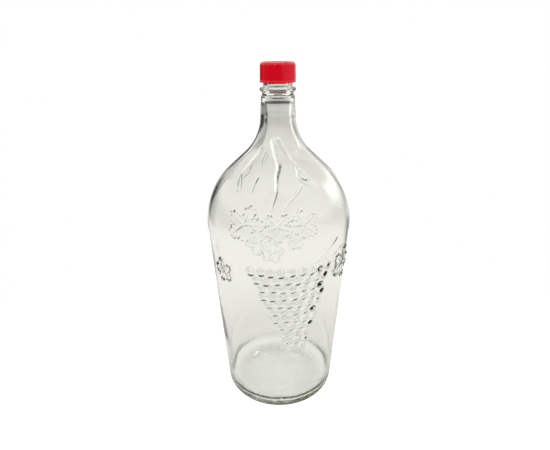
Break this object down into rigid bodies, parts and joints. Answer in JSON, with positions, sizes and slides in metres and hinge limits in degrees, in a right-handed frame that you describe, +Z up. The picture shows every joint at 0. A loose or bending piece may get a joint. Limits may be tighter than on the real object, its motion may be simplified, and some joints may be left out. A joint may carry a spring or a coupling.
{
  "type": "glass bottle with screw cap",
  "caption": "Large clear glass oil or wine bottle with a tapered round body, a moulded grape vine in relief and a red ribbed plastic screw cap with a sealing liner.",
  "frame": {"origin": "centre of the flat ring that the bottle stands on", "axes": "+Z up along the bottle's axis, towards the cap; the moulded vine's middle faces -Y"},
  "size_m": [0.138, 0.138, 0.3355],
  "materials": {
    "glass": "clear moulded glass with a faint olive tint",
    "cap_plastic": "glossy red injection-moulded plastic",
    "liner_foam": "matt white polyethylene foam"
  },
  "bodies": {
    "bottle": {"bottle": "glass"},
    "liner": {"cap_liner": "liner_foam"},
    "cap": {"screw_cap": "cap_plastic"}
  },
  "joints": [
    {"name": "cap_lift", "type": "slide", "parent": "bottle", "child": "liner", "axis": [0, 0, 1], "range_m": [0, 0.016]},
    {"name": "cap_turn", "type": "hinge", "parent": "liner", "child": "cap", "pos_m": [0, 0, 0.3193], "axis": [0, 0, 1], "range_deg": [0, 1800]}
  ],
  "couplings": [
    {"joint": "cap_lift", "follows": "cap_turn", "m_per_rad": 0.00050611}
  ]
}
